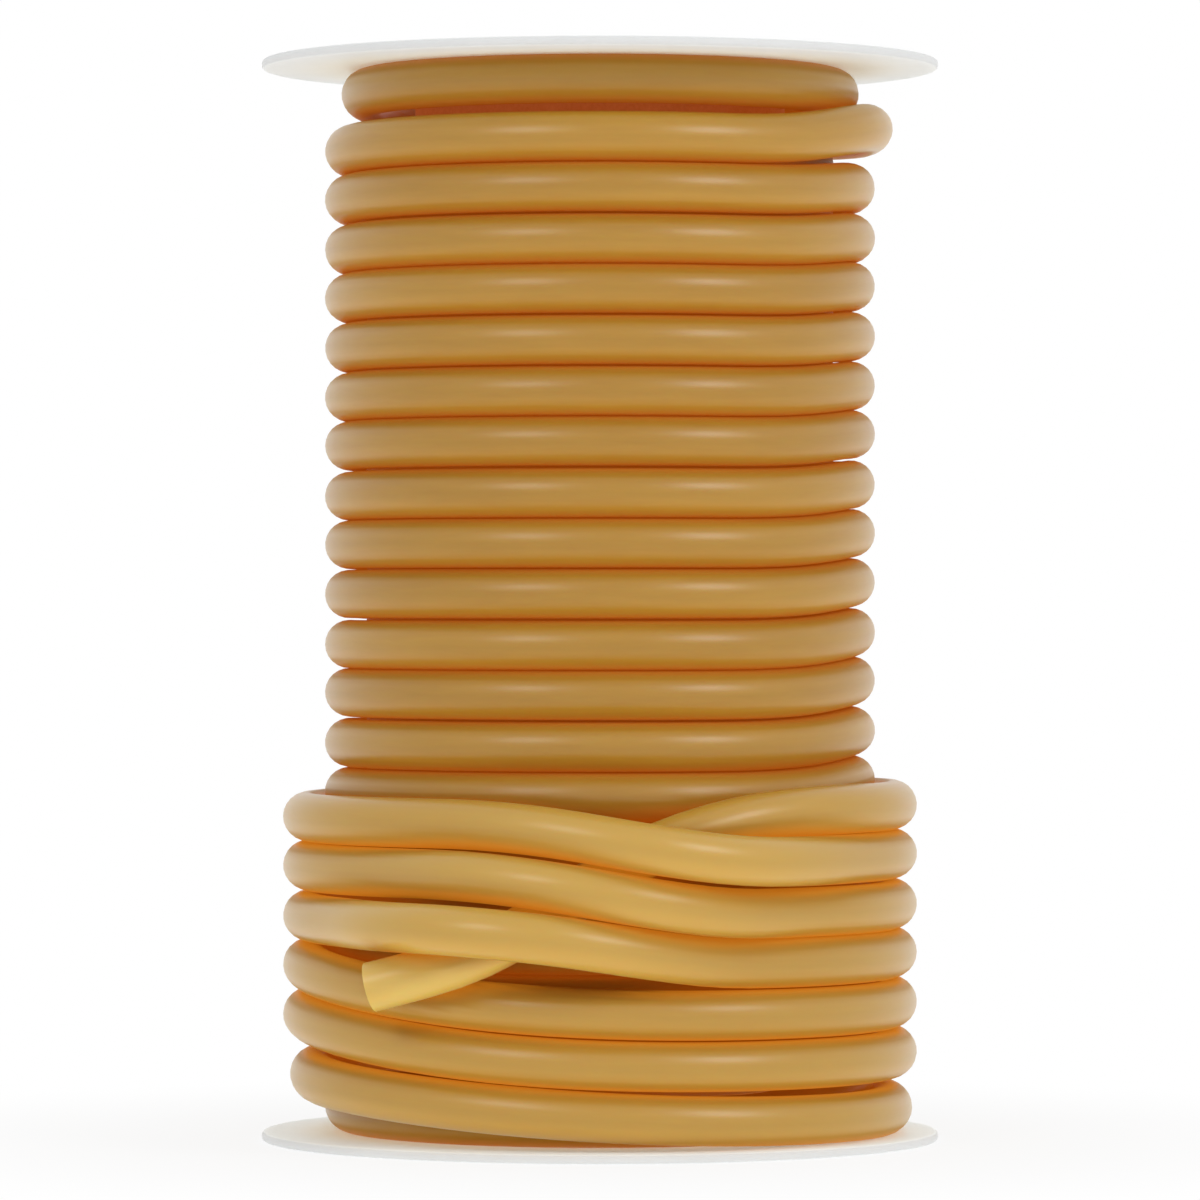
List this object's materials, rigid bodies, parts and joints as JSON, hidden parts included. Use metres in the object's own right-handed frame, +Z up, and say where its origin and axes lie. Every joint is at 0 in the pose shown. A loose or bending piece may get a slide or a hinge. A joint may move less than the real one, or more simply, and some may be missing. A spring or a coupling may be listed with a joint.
{
  "type": "reel of rubber tubing",
  "caption": "Amber rubber tubing wound in layers on a white flanged reel that stands on end, its cut free end tucked under the outer turns, with a through hole for an arbor.",
  "frame": {"origin": "on the reel's axis, in the plane of the lower flange's outer face, which the reel stands on", "axes": "+Z up along the reel's axis; -Y towards the side where the tubing's free end shows; +X to the right"},
  "size_m": [0.1334, 0.1428, 0.213],
  "materials": {
    "amber_rubber": "smooth, satin, translucent",
    "white_plastic": "satin, moulded",
    "core_board": "plain paperboard"
  },
  "bodies": {
    "root": {"tubing": "amber_rubber", "core_tube": "core_board", "lower_flange": "white_plastic", "upper_flange": "white_plastic"}
  },
  "joints": []
}
